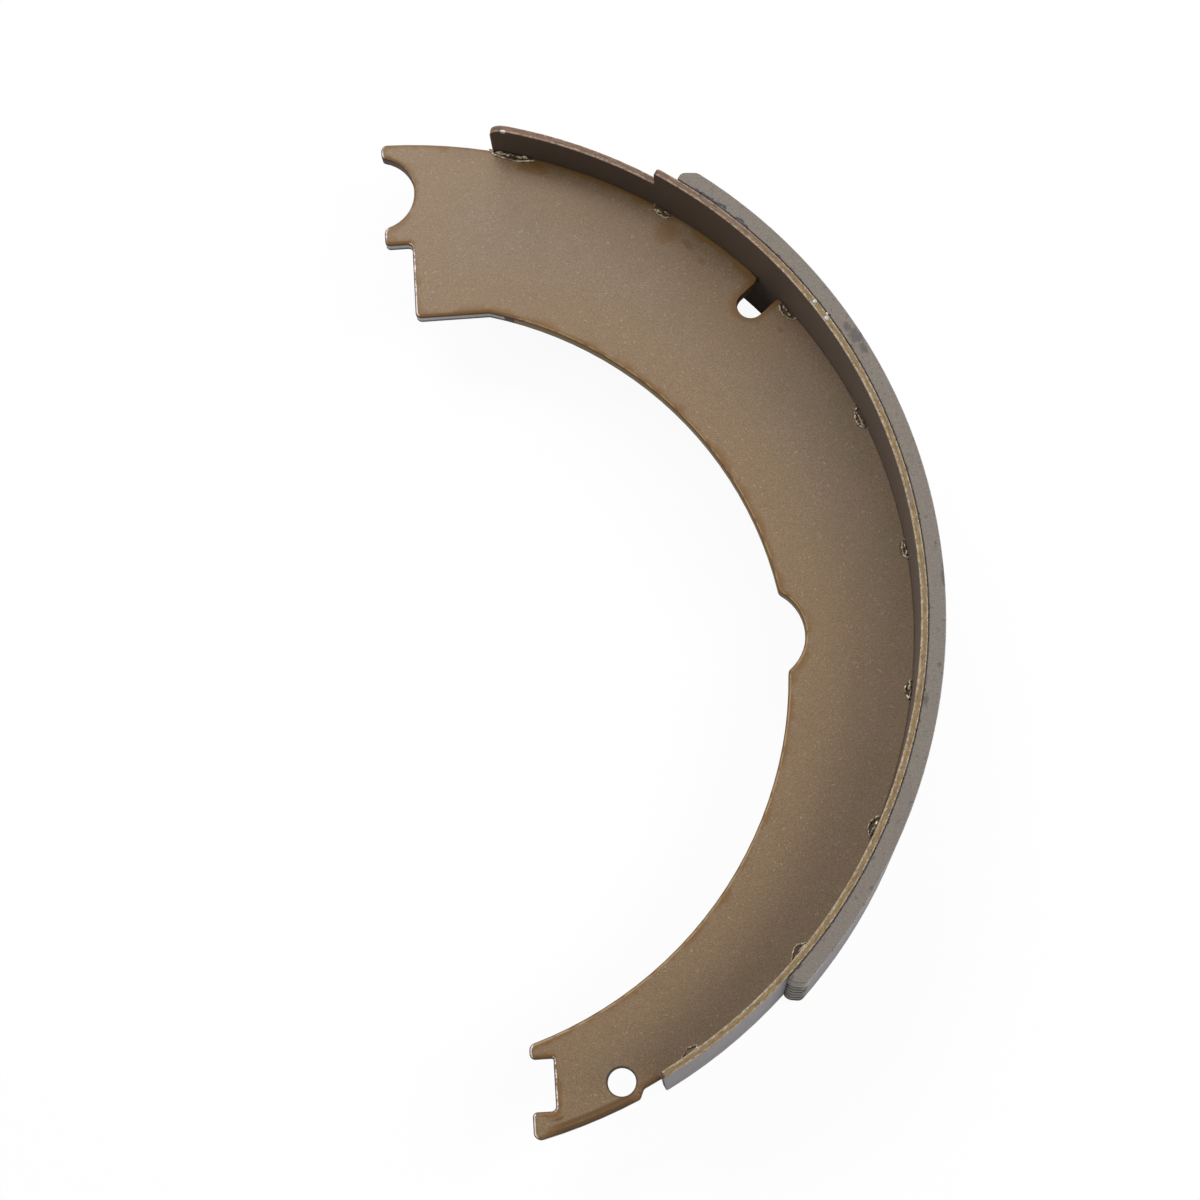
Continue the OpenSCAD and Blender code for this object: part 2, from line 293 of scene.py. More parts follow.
webLook = {
    "base": (0.206, 0.141, 0.087, 1), "olive": (0.184, 0.130, 0.075, 1), "flake": (0.52, 0.45, 0.35, 1),
    # beside the cut edges the paint is warmer over a wide band, and ochre over a narrow, uneven one
    "warm": (0.212, 0.135, 0.071, 1), "warmWidth": (24, 5), "ochre": (0.160, 0.075, 0.016, 1),
    # the dark brown below is painted shade at the roll's foot, in the bead hollows and along the joint at the
    # table, and also the hole's dark ring
    "tintWidth": (1.2, 3.6), "darkBrown": (0.045, 0.027, 0.012, 1), "holeRing": (0.55, 0.25),
    # the tail's rolled outer edge, darker ochre that is partly painted shade where it turns down, and the
    # dark band inside it
    "tailOchreAndShade": (0.070, 0.033, 0.009, 1), "tailBand": (0.105, 0.050, 0.013, 1), "tailFrom": (-65.6, -67.0),
    "tailTo": (-77, -74), "tailRim": 143.5, "rollWidth": (1.45, 0.95), "bandMiddle": 2.0,
    "bandHalf": (1.0, 0.3),
    # the ochre line along the table's upper stretch
    "seamOchre": (0.21, 0.115, 0.02, 1), "seamTint": (143.3, 144.9), "seamTintFrom": 38, "seamTintTo": 71,
    # painted walls, the worn one of the inner arc, and sheared steel at the horns and the foot, painted
    # darker towards the far face as painted shade
    "wall": (0.120, 0.082, 0.046, 1), "arcWall": (0.38, 0.275, 0.155, 1), "arc": (124, 89),
    "sheared": (0.66, 0.63, 0.64, 1), "shearedShade": (0.12, 0.10, 0.11, 1), "shearedBox": (45, 90, 119),
    "wallTop": (1.6, 1.2), "rollFoot": (0.8, 1.2), "shearFade": (-0.3, -1.4),
    # a painted highlight: a chipped bright line on the rolled edge where it faces the post and the adjuster
    # (-x), least in the seat; painted shade on the roll's steep outer part; a pale line at the inner arc
    "rollHighlight": (0.86, 0.78, 0.76, 1), "highlightBelow": (44, 40), "seat": (116, 145), "seatFrom": (3.5, 5.5),
    "tines": (34, -200, -100), "neckFoot": (13, 91, 98), "rollShade": (0.060, 0.045, 0.048, 1),
    "wearAndHighlightLine": (0.50, 0.37, 0.19, 1),
    # what is cut out of the plate, in mm: discs as x, y, radius, and boxes as x, y, half sizes
    "discs": [(0, 130.5, 11.05), (101.21, -8.86, 13.6)], "hole": (55.89, -129.78, 3.9),
    "boxes": [(-98.1, 0, 100, 400), (-90.2, 14.2, 100, 100), (-68.6, -100, 100, 100),
              (-62.2, -129.3, 100, 7.1)],
    "inner": (0, -13.55, 109.45), "foot": 91.4, "slot": (39.6, 138.25, 3.95), "tailStep": -65.4,
    # brown smudges left by the welding and the rack: angle, radius, half length, half height
    "smudges": [(53.2, 139.5, 4.0, 3.6), (50.3, 140.2, 2.2, 1.2), (47.6, 138.6, 1.6, 1.0),
                (71.2, 142.6, 5.5, 2.2), (34.9, 139.6, 1.0, 0.9), (41.6, 143.6, 3.4, 1.6)],
    # painted shade in the hollows beside the beads: mm from the table, half height; then the dark joint line
    # at the table, partly painted shade in the corner: mm from the table where it starts and stops
    "hollow": (0.9, 1.4), "seamLine": (0.6, 0.15),
}


def webEdgeDistance(tree, place):      # mm from a point on the plate to its nearest cut edge
    look = webLook
    flat = place["Flat"]
    farAway = 50.0      # where the table covers the edge
    parts = []
    for x, y, radius in look["discs"]:
        parts.append(calc(tree, "SUBTRACT", measure(tree, "DISTANCE", flat, (x, y, 0)), radius))
    for x, y, halfX, halfY in look["boxes"]:
        q = vector(tree, "ABSOLUTE", vector(tree, "SUBTRACT", flat, (x, y, 0)))
        q = vector(tree, "MAXIMUM", vector(tree, "SUBTRACT", q, (halfX, halfY, 0)), (0, 0, 0))
        parts.append(measure(tree, "LENGTH", q))
    x, y, radius = look["inner"]
    ring = calc(tree, "SUBTRACT", measure(tree, "DISTANCE", flat, (x, y, 0)), radius)
    parts.append(calc(tree, "MAXIMUM", ring, calc(tree, "SUBTRACT", splitXyz(tree, flat)[1], look["foot"])))
    slotAngle, slotEnd, slotHalf = look["slot"]
    along = calc(tree, "SUBTRACT", measure(tree, "DOT_PRODUCT", flat, polar(1, slotAngle)), slotEnd)
    across = measure(tree, "DOT_PRODUCT", flat, polar(1, slotAngle + 90))
    q = put(tree, "CombineXYZ", {0: calc(tree, "MINIMUM", along, 0.0), 1: across}).outputs[0]
    parts.append(calc(tree, "SUBTRACT", measure(tree, "LENGTH", q), slotHalf))
    inTail = calc(tree, "LESS_THAN", place["Angle"], look["tailStep"])
    covered = between(tree, place["Angle"], tableBottom, look["seamTintFrom"])
    rim = calc(tree, "MULTIPLY_ADD", inTail, tableOut - tableIn, tableIn)
    rim = calc(tree, "MULTIPLY_ADD", covered, farAway, rim)
    parts.append(calc(tree, "SUBTRACT", rim, place["Radius"]))
    nearest = parts[0]
    for part in parts[1:]:
        nearest = calc(tree, "MINIMUM", nearest, part)
    return nearest


def insideBox(tree, place, mostX, lowY, highY):      # 1 left of mostX and between two heights, in mm
    x, y, _ = splitXyz(tree, place["Flat"])
    return times(tree, calc(tree, "LESS_THAN", x, mostX), between(tree, y, lowY, highY))


def paintPlate(tree, grain, edgeDistance, patch):      # the paint, browner towards the cut edges
    look = webLook
    colour = mix(tree, ease(tree, grain["Broad"], 0.4, 0.65), look["base"], look["olive"])
    colour = mix(tree, ease(tree, edgeDistance, *look["warmWidth"], 0.0, 0.7), colour, look["warm"])
    colour = mix(tree, 1.0, colour, grain["Shade"], "MULTIPLY")
    colour = mix(tree, times(tree, grain["Flake"], 0.33), colour, look["flake"])
    width = ease(tree, patch, 0.36, 0.64, *look["tintWidth"])
    tint = ease(tree, calc(tree, "DIVIDE", edgeDistance, width), 1.0, 0.2, 0.0, 0.85)
    return mix(tree, tint, colour, look["ochre"])


def tintTail(tree, place, edgeDistance, colour):
    look = webLook
    inTail = times(tree, ease(tree, place["Angle"], *look["tailFrom"]),
                   ease(tree, place["Angle"], *look["tailTo"]),
                   calc(tree, "GREATER_THAN", place["Radius"], look["tailRim"]))
    # the downturned roll is darker ochre, partly painted shade
    roll = times(tree, ease(tree, edgeDistance, *look["rollWidth"]), inTail, 0.8)
    colour = mix(tree, roll, colour, look["tailOchreAndShade"])
    offBand = calc(tree, "ABSOLUTE", calc(tree, "SUBTRACT", edgeDistance, look["bandMiddle"]))
    band = times(tree, ease(tree, offBand, *look["bandHalf"]), inTail, 0.9)
    return mix(tree, band, colour, look["tailBand"])


def tintSeam(tree, place, patch, colour):      # ochre and smudges along the table, painted shade in the hollows beside the beads, and a dark joint line that is partly painted shade
    look = webLook
    ochre = times(tree, ease(tree, place["Radius"], *look["seamTint"]),
                  between(tree, place["Angle"], look["seamTintFrom"] + 1, look["seamTintTo"]),
                  ease(tree, patch, 0.40, 0.60, 0.3, 0.8))
    colour = mix(tree, ochre, colour, look["seamOchre"])
    wobble = calc(tree, "MULTIPLY_ADD", cloud(tree, place["Spot"], 0.6, 4.0, 0.6), 2.4, -1.2)
    smudge = spotMask(tree, place, wobble, look["smudges"])
    colour = mix(tree, times(tree, smudge, 0.65), colour, look["ochre"])
    inward, halfHeight = look["hollow"]
    hollow = spotMask(tree, place, times(tree, wobble, 0.3), [
        (a, tableIn - inward, 0.5 * length, halfHeight)
        for a, length in weldSpots if a > weld["lastHollow"]])
    start, stop = look["seamLine"]
    seam = times(tree, ease(tree, place["Radius"], tableIn - start, tableIn - stop),
                 between(tree, place["Angle"], tableBottom, tableTop))
    # painted shade in the hollows, and the dark joint line, partly painted shade
    return mix(tree, times(tree, calc(tree, "MAXIMUM", hollow, seam), 0.85), colour, look["darkBrown"])


def ringHole(tree, place, colour):      # a dark ring at the spring's hole
    x, y, radius = webLook["hole"]
    fromHole = calc(tree, "SUBTRACT", measure(tree, "DISTANCE", place["Flat"], (x, y, 0)), radius)
    return mix(tree, ease(tree, fromHole, *webLook["holeRing"], 0.0, 0.8), colour, webLook["darkBrown"])


def innerArc(tree, place):      # 1 at the walls and edges of the inner arc
    radius, top = webLook["arc"]
    return times(tree, calc(tree, "LESS_THAN", place["Radius"], radius),
                 calc(tree, "LESS_THAN", splitXyz(tree, place["Flat"])[1], top))


def paintWalls(tree, place, grain, tilt, inArc, colour):      # also gives where the steel is bare
    look = webLook
    atAnchor = insideBox(tree, place, *look["shearedBox"])
    # the sheared steel is painted darker towards the far face, as painted shade at the wall's foot
    shear = mix(tree, ease(tree, place["Height"], *look["shearFade"]), look["sheared"], look["shearedShade"])
    shear = mix(tree, 1.0, shear, grain["Shade"], "MULTIPLY")
    tone = mix(tree, atAnchor, mix(tree, inArc, look["wall"], look["arcWall"]), shear)
    wall = times(tree, ease(tree, tilt[2], 0.30, 0.15), ease(tree, place["Height"], *look["wallTop"]))
    colour = mix(tree, times(tree, wall, 0.85), colour, tone)
    # the foot of the roll, where it turns down, is painted dark as painted shade, a little more where it
    # faces +y, less so at the inner arc
    foot = times(tree, ease(tree, tilt[2], 0.72, 0.45), ease(tree, place["Height"], *look["rollFoot"]),
                 ease(tree, tilt[1], 0.1, 0.4, 0.7, 0.88), calc(tree, "MULTIPLY_ADD", inArc, -0.75, 1.0))
    colour = mix(tree, foot, colour, look["darkBrown"])
    return colour, times(tree, wall, atAnchor, ease(tree, place["Height"], *look["shearFade"][::-1]))


def paintRollHighlight(tree, place, tilt, inArc, colour):      # paints a highlight and shade on the roll, and gives where the highlight lies
    look = webLook
    x, y, _ = splitXyz(tree, place["Flat"])
    onRoll = times(tree, ease(tree, tilt[2], 0.68, 0.80), ease(tree, tilt[2], 0.975, 0.925))
    # the painted highlight is strongest at the tines' tips and the neck's foot
    strong = times(tree, calc(tree, "MAXIMUM", insideBox(tree, place, *look["tines"]),
                              insideBox(tree, place, *look["neckFoot"])), 0.85)
    chips = ease(tree, cloud(tree, place["Spot"], 0.35, 3.0, 0.6), 0.38, 0.54, 0.1, 1.0)
    chips = calc(tree, "MAXIMUM", chips, strong)
    teeth = ease(tree, cloud(tree, place["Spot"], 1.7, 2.0, 0.6), 0.40, 0.54, 0.25, 1.0)
    teeth = calc(tree, "MAXIMUM", teeth, strong)
    inSeat = times(tree, between(tree, y, *look["seat"]), ease(tree, x, *look["seatFrom"]))
    facing = times(tree, ease(tree, tilt[0], -0.16, -0.34), ease(tree, x, *look["highlightBelow"]),
                   calc(tree, "MULTIPLY_ADD", inSeat, -0.8, 1.0))
    # painted shade on the roll's steep outer part, where it faces the post and the adjuster
    shade = times(tree, ease(tree, tilt[2], 0.70, 0.58), ease(tree, tilt[2], 0.05, 0.20), facing,
                  ease(tree, teeth, 0.3, 0.9, 0.45, 0.8))
    colour = mix(tree, shade, colour, look["rollShade"])
    # a pale broken line on the inner arc's roll: wear and painted highlight
    colour = mix(tree, times(tree, onRoll, chips, inArc, 0.45), colour, look["wearAndHighlightLine"])
    # painted highlight: a chipped bright line on the roll where it faces the post and the adjuster
    rollHighlight = times(tree, onRoll, facing, chips, teeth)
    return mix(tree, times(tree, rollHighlight, 0.85), colour, look["rollHighlight"]), rollHighlight


def makeWebPaint():
    material, tree, shader = newMaterial("web_paint", **{
        "Specular IOR Level": 0.3, "Coat Weight": 0.08, "Coat Roughness": 0.18})
    place = useGroup(tree, placeGroup)
    grain = useGroup(tree, grainGroup, {
        "Spot": place["Spot"], "Grain size": 0.36, "Grain depth": 1.6, "Flake size": 0.65,
        "Flake limit": 0.68, "Mottle depth": 0.2})
    tilt = splitXyz(tree, put(tree, "NewGeometry").outputs["Normal"])
    edgeDistance = webEdgeDistance(tree, place)
    patch = cloud(tree, place["Spot"], 0.14, 4.0, 0.6)
    inArc = innerArc(tree, place)
    colour = paintPlate(tree, grain, edgeDistance, patch)
    colour = tintTail(tree, place, edgeDistance, colour)
    colour = ringHole(tree, place, tintSeam(tree, place, patch, colour))
    colour, bareWall = paintWalls(tree, place, grain, tilt, inArc, colour)
    colour, rollHighlight = paintRollHighlight(tree, place, tilt, inArc, colour)
    # the painted highlight is made partly metallic, as is the bare sheared wall
    metallic = calc(tree, "MAXIMUM", times(tree, rollHighlight, 0.6), times(tree, bareWall, 0.75))
    tree.links.new(metallic, shader.inputs["Metallic"])
    roughness = ease(tree, grain["Relief"], 0.3, 0.7, 0.42, 0.56)
    finishShader(tree, shader, colour, roughness, grain["Relief"], 0.3, 0.0001)
    return material


tableLook = {
    # the wall is painted darker towards the upper angles, as painted shade
    "wall": (0.145, 0.111, 0.090, 1), "upperWallShade": (0.088, 0.066, 0.052, 1), "wallChange": (25, 60),
    "rim": (0.232, 0.158, 0.080, 1), "upperRim": (0.165, 0.105, 0.072, 1), "rimChange": (30, 50),
    # pale lines along both edges of the sheet: wear and painted highlight
    "wearHighlight": (0.52, 0.45, 0.36, 1), "upperWearHighlight": (0.46, 0.33, 0.25, 1), "wearHighlightWidth": (0.30, 0.85),
    "bare": (0.40, 0.38, 0.39, 1), "rimDepth": (0.35, 0.15), "endRim": (76.05, 76.15), "tongueHalf": 17.5,
    "streaks": (2.6, 0.9),
    # smears and glints: angle, radius, half length, half height
    "smear": (0.19, 0.15, 0.13, 1), "smears": [(8.6, 146.6, 2.4, 1.0)],
    "glint": (0.85, 0.80, 0.77, 1), "glints": [(74.6, 145.8, 0.9, 0.4)], "glintDepth": (1.4, 1.0),
}


def tableRim(tree, place):      # 1 on the sheet's side edges, and the mm down from them
    look = tableLook
    inTongue = calc(tree, "GREATER_THAN", place["Angle"], tableStep)
    narrower = times(tree, inTongue, widthHalf / mm - look["tongueHalf"])
    level = calc(tree, "SUBTRACT", widthHalf / mm, narrower)
    below = calc(tree, "SUBTRACT", level, calc(tree, "ABSOLUTE", place["Height"]))
    rim = calc(tree, "MAXIMUM", ease(tree, below, *look["rimDepth"]),
               ease(tree, place["Angle"], *look["endRim"], 0.0, 0.8))
    tilt = splitXyz(tree, put(tree, "NewGeometry").outputs["Normal"])[2]
    rounded = times(tree, ease(tree, calc(tree, "ABSOLUTE", tilt), 0.25, 0.35), inTongue)
    return calc(tree, "MAXIMUM", rim, rounded), below


def wearAndHighlightEdges(tree, place, rim, chips, colour):      # both edges get pale lines of uneven width: wear and painted highlight
    look = tableLook
    width = ease(tree, cloud(tree, place["Spot"], 1.2, 3.0), 0.30, 0.70, *look["wearHighlightWidth"])
    inner = ease(tree, calc(tree, "SUBTRACT", place["Radius"], tableIn), width, times(tree, width, 0.7))
    outer = ease(tree, calc(tree, "SUBTRACT", tableOut, place["Radius"]), times(tree, width, 0.8),
                 times(tree, width, 0.5))
    wearHighlight = calc(tree, "MAXIMUM", times(tree, inner, ease(tree, chips, 0.36, 0.60, 0.15, 1.0)),
                times(tree, outer, ease(tree, chips, 0.64, 0.42, 0.15, 0.9)))
    tone = mix(tree, ease(tree, place["Angle"], *look["rimChange"]), look["wearHighlight"], look["upperWearHighlight"])
    return mix(tree, times(tree, wearHighlight, rim, 0.75), colour, tone)


def makeTablePaint():
    look = tableLook
    material, tree, shader = newMaterial("table_paint", **{"Specular IOR Level": 0.18})
    place = useGroup(tree, placeGroup)
    grain = useGroup(tree, grainGroup, {
        "Spot": place["Spot"], "Grain size": 0.5, "Grain depth": 0.7, "Flake size": 0.8,
        "Flake limit": 0.69, "Mottle depth": 0.2})
    outside = ease(tree, place["Radius"], tableOut - 0.3, tableOut - 0.1)
    # painted shade: the wall grows darker towards the upper angles
    wallTone = mix(tree, ease(tree, place["Angle"], *look["wallChange"]), look["wall"], look["upperWallShade"])
    colour = mix(tree, outside, wallTone, look["bare"])
    rimTone = mix(tree, ease(tree, place["Angle"], *look["rimChange"]), look["rim"], look["upperRim"])
    perMm, perDegree = look["streaks"]
    streakSpot = put(tree, "CombineXYZ", {
        0: times(tree, place["Radius"], perMm), 1: times(tree, place["Angle"], perDegree)}).outputs[0]
    streak = ease(tree, cloud(tree, streakSpot, 1.0, 3.0, 0.6), 0.3, 0.7, 0.68, 1.32)
    rim, below = tableRim(tree, place)
    colour = mix(tree, rim, colour, mix(tree, 1.0, rimTone, streak, "MULTIPLY"))
    colour = mix(tree, 1.0, colour, grain["Shade"], "MULTIPLY")
    chips = cloud(tree, place["Spot"], 0.75, 4.0, 0.7)
    colour = wearAndHighlightEdges(tree, place, rim, chips, colour)
    smear = spotMask(tree, place, calc(tree, "MULTIPLY_ADD", chips, 2.0, -1.0), look["smears"])
    colour = mix(tree, times(tree, smear, 0.6), colour, look["smear"])
    glint = times(tree, spotMask(tree, place, 0.0, look["glints"]), ease(tree, below, *look["glintDepth"]))
    colour = mix(tree, times(tree, glint, 0.9), colour, look["glint"])
    roughness = ease(tree, grain["Relief"], 0.3, 0.7, 0.45, 0.6)
    finishShader(tree, shader, colour, roughness, grain["Relief"], 0.3, 0.0001)
    return material


lining = {"edge": 0.25, "steps": 2, "sharp": 25, "square": 60, "endEdge": 0.9, "endSteps": 4,
          "grooveFrom": 9.2, "groovePitch": 6.9, "grooveCount": 5, "grooveHalf": 1.5, "grooveDepth": 0.7,
          "grooveTop": -44.8}

liningLook = {
    "base": (0.208, 0.178, 0.153, 1), "green": (0.192, 0.173, 0.146, 1), "ground": (0.38, 0.36, 0.37, 1),
    # the end colour is the adjuster end made pale, as painted light
    "dark": (0.055, 0.052, 0.055, 1), "end": (0.50, 0.46, 0.41, 1),
    # the dark lines painted as shade in the grooves: how far they bow and wander, in mm, and how high they
    # reach
    "bow": 2.6, "bowMiddle": 150.2, "bowHalf": 2.4, "wander": 4.5, "lineShift": 0.32, "linesTo": (13.5, 12.5),
    # stains on the near side: angle, radius, half length, half height
    "stainsFrom": (20, 24),
    "stains": [(28.5, 150.0, 1.7, 1.2), (27.1, 150.6, 2.8, 2.0), (25.6, 150.6, 2.0, 1.1),
               (-0.4, 152.2, 3.4, 0.8), (-9.9, 151.0, 0.8, 0.7), (-13.7, 148.6, 1.8, 0.8),
               (3.0, 150.9, 0.5, 0.4), (-34.0, 151.6, 0.8, 0.5), (-46.1, 148.2, 1.0, 0.9)],
}


# dark lines painted as shade along the cutter's grooves
def grooveShade(tree, place):
    look = liningLook
    off = calc(tree, "DIVIDE", calc(tree, "SUBTRACT", place["Radius"], look["bowMiddle"]), look["bowHalf"])
    bend = calc(tree, "ADD", times(tree, off, off, -look["bow"]),
                times(tree, cloud(tree, place["Spot"], 0.28, 3.0), look["wander"]))
    level = calc(tree, "SUBTRACT", calc(tree, "ADD", place["Height"], bend), lining["grooveFrom"])
    steps = calc(tree, "ADD", look["lineShift"], calc(tree, "DIVIDE", level, lining["groovePitch"]))
    offStep = calc(tree, "ABSOLUTE", calc(tree, "SUBTRACT", steps, calc(tree, "ROUND", steps)))
    return times(tree, ease(tree, offStep, 0.33, 0.16), ease(tree, place["Height"], *look["linesTo"]))


def makeLiningCompound():
    look = liningLook
    material, tree, shader = newMaterial("friction_lining", **{"Specular IOR Level": 0.35})
    place = useGroup(tree, placeGroup)
    grain = useGroup(tree, grainGroup, {
        "Spot": place["Spot"], "Grain size": 0.55, "Grain depth": 1.0, "Flake size": 1.3,
        "Flake limit": 0.66, "Mottle depth": 0.25})
    colour = mix(tree, ease(tree, grain["Broad"], 0.42, 0.62), look["base"], look["green"])
    outside = ease(tree, place["Radius"], liningOut - 0.25, liningOut - 0.1)
    colour = mix(tree, outside, colour, look["ground"])
    # the adjuster end is painted pale, as painted light, with dark lines painted as shade in the cutter's
    # grooves
    inEnd = times(tree, ease(tree, place["Angle"], lining["grooveTop"], lining["grooveTop"] - 0.4),
                  ease(tree, place["Height"], widthHalf / mm - 0.2, widthHalf / mm - 0.5))
    colour = mix(tree, inEnd, colour, look["end"])
    colour = mix(tree, times(tree, grooveShade(tree, place), inEnd, 0.95), colour, look["dark"])
    colour = mix(tree, 1.0, colour, grain["Shade"], "MULTIPLY")
    colour = mix(tree, times(tree, grain["Flake"], 0.35), colour, look["dark"])
    wobble = calc(tree, "MULTIPLY_ADD", cloud(tree, place["Spot"], 0.8, 4.0, 0.65), 3.0, -1.5)
    stain = times(tree, spotMask(tree, place, wobble, look["stains"]),
                  ease(tree, place["Height"], *look["stainsFrom"]), 0.55)
    colour = mix(tree, stain, colour, look["dark"])
    roughness = ease(tree, grain["Relief"], 0.3, 0.7, 0.75, 0.95)
    finishShader(tree, shader, colour, roughness, grain["Relief"], 0.5, 0.0002)
    return material


web = {"roll": 1.15, "rollSteps": 4, "rollDepth": 0.75, "crisp": 0.3, "back": 0.25, "steps": 2, "flat": 0.9,
       "wallTilt": 0.3, "slack": 0.3, "underTable": 0.4, "doubles": 0.01,
       "hole": (55.89, -129.78, 4.5), "slotAngle": 39.6, "slotHalf": 6.8, "slotFrom": 130,
       # the soft step behind the tail's hole: its angles, where its walls are sought, the radius past it
       "step": (-64.75, -65.95), "stepSearch": (-70, -60), "stepCuts": 9, "tailOut": 147.6,
       # the tail's outer edge is rolled wider: how much, and the angles where that fades out
       "tailRoll": 1.6, "tailFrom": (-66.2, -67.8), "tailTo": (-76.2, -74.8), "tailEnd": -77.5}


def fade(value, start, end):      # goes softly from 0 at start to 1 at end
    share = min(max((value - start) / (end - start), 0), 1)
    return share * share * (3 - 2 * share)


def rimEdges(bm, side):      # edges between the near or far face and the walls
    found = []
    for edge in bm.edges:
        if len(edge.link_faces) == 2 and edge.verts[0].co.z * side > 0:
            tilts = sorted(face.normal.z * side for face in edge.link_faces)
            if tilts[1] > web["flat"] and abs(tilts[0]) < web["wallTilt"]:
                found.append(edge)
    return found


def inOpening(place):      # at the small hole or the spring's slot, whose edges stay crisp
    x, y, reach = web["hole"]
    inHole = math.hypot(place.x / mm - x, place.y / mm - y) < reach
    across, along = place.dot(polar(1, web["slotAngle"] + 90)), place.dot(polar(1, web["slotAngle"]))
    return inHole or (abs(across) < web["slotHalf"] * mm and along > web["slotFrom"] * mm)


def underTable(place):
    return abs(radiusOf(place) - tableIn) < web["underTable"] and tableBottom < angleOf(place) < tableTop


def softenStep(bm):
    start, stop = web["step"]
    first, last = web["stepSearch"]
    inmost = tableIn - web["slack"]
    for cut in range(web["stepCuts"]):
        degrees = start + (stop - start) * cut / (web["stepCuts"] - 1)
        walls = [face for face in bm.faces if abs(face.normal.z) < web["wallTilt"]
                 and min(radiusOf(vert.co) for vert in face.verts) > inmost
                 and first < angleOf(face.calc_center_median()) < last]
        cutAtAngle(bm, partsOf(walls), degrees)
        bm.normal_update()
    for vert in bm.verts:
        degrees, radius = angleOf(vert.co), radiusOf(vert.co)
        if stop - 0.01 < degrees < start + 0.01 and radius > inmost:
            wanted = tableIn + (web["tailOut"] - tableIn) * fade(degrees, start, stop)
            vert.co.xy *= wanted / radius


def widenTailRoll(rolledVerts):
    for vert in rolledVerts:
        degrees, radius = angleOf(vert.co), radiusOf(vert.co)
        depth = web["tailOut"] - radius
        inTail = web["tailEnd"] < degrees < web["tailFrom"][0]
        if vert.co.z > 0 and inTail and 0 <= depth < web["roll"] + 0.1:
            share = fade(degrees, *web["tailFrom"]) * fade(degrees, *web["tailTo"])
            wanted = web["tailOut"] - depth * (1 + (web["tailRoll"] - 1) * share)
            vert.co.xy *= wanted / radius


def makeWeb():
    bm = mergedCopy("web")
    for degrees in (tableTop, tableBottom):
        cutAtAngle(bm, wholeOf(bm), degrees)
    softenStep(bm)
    bm.normal_update()
    rolled, crisp = [], []
    for edge in rimEdges(bm, 1):
        middle = (edge.verts[0].co + edge.verts[1].co) / 2
        middle.z = 0
        if inOpening(middle):
            crisp.append(edge)
        elif not underTable(middle):
            rolled.append(edge)
    rolledVerts = bevel(bm, rolled, web["roll"], web["rollSteps"])
    for vert in rolledVerts:
        if vert.co.z > 0:
            vert.co.z = webHalf - (webHalf - vert.co.z) * web["rollDepth"]
    widenTailRoll(rolledVerts)
    bevel(bm, [edge for edge in crisp if edge.is_valid], web["crisp"], web["steps"])
    bevel(bm, rimEdges(bm, -1), web["back"], web["steps"])
    bmesh.ops.remove_doubles(bm, verts=bm.verts, dist=web["doubles"] * mm)
    return finishPiece(bm, "web_plate", makeWebPaint(), ["web"])


def sharpEdges(bm, degrees):
    return [edge for edge in bm.edges if len(edge.link_faces) == 2
            and edge.calc_face_angle() > math.radians(degrees)]


table = {"edge": 0.28, "steps": 2, "sharp": 35, "endFrom": 74.8, "endTurn": 0.37,
         "corner": 5.0, "cornerSteps": 9, "cornerMerge": 0.08}


def roundCorners(bm, end, level, radius):      # of the tongue's end, on both sides
    reach = math.degrees(radius / tableIn)
    for step in range(table["cornerSteps"]):
        degrees = end - reach + reach * math.sin(0.5 * math.pi * step / table["cornerSteps"])
        cutAtAngle(bm, wholeOf(bm), degrees)
    atEnd = [vert for vert in bm.verts if angleOf(vert.co) > end - reach - 0.02]
    for vert in atEnd:
        # cut points move out from the chord to the round, then in to the corner's arc
        wanted = tableIn if radiusOf(vert.co) < 0.5 * (tableIn + tableOut) else tableOut
        vert.co.xy *= wanted / radiusOf(vert.co)
        share = min(max((angleOf(vert.co) - end + reach) / reach, 0), 1)
        limit = (level - radius * (1 - math.sqrt(1 - share ** 2))) * mm
        if abs(vert.co.z) > limit:
            vert.co.z = math.copysign(limit, vert.co.z)
    bmesh.ops.remove_doubles(bm, verts=atEnd, dist=table["cornerMerge"] * mm)
    bm.normal_update()


def makeTable():
    bm = mergedCopy("table")
    for vert in bm.verts:      # the tongue's end stands a little past the plain form's
        if angleOf(vert.co) > table["endFrom"]:
            vert.co = turned(table["endTurn"]) @ vert.co
    roundCorners(bm, tableTop + table["endTurn"], tableLook["tongueHalf"], table["corner"])
    bevel(bm, sharpEdges(bm, table["sharp"]), table["edge"], table["steps"])
    return finishPiece(bm, "table_sheet", makeTablePaint(), ["table"])


def makeLining():
    bm = mergedCopy("lining")
    ends = [edge for edge in sharpEdges(bm, lining["sharp"])
            if abs(edge.verts[0].co.z - edge.verts[1].co.z) > widthHalf
            and min(radiusOf(vert.co) for vert in edge.verts) > tableOut + 0.5]
    bevel(bm, ends, lining["endEdge"], lining["endSteps"])
    bevel(bm, sharpEdges(bm, lining["square"]), lining["edge"], lining["steps"])
    # shallow grooves run across the adjuster end, as the cutter left them
    inward = polar(lining["grooveDepth"] * mm, liningBottom + 90)
    for number in range(lining["grooveCount"]):
        level = lining["grooveFrom"] - number * lining["groovePitch"]
        for step in (-lining["grooveHalf"], 0, lining["grooveHalf"]):
            faces = [face for face in bm.faces
                     if max(angleOf(vert.co) for vert in face.verts) < lining["grooveTop"]]
            cutAt(bm, partsOf(faces), (0, 0, (level + step) * mm), (0, 0, 1))
        for vert in bm.verts:
            if abs(vert.co.z - level * mm) < 1e-6 and angleOf(vert.co) < lining["grooveTop"]:
                vert.co += inward
    return finishPiece(bm, "friction_lining", makeLiningCompound(), ["lining"])


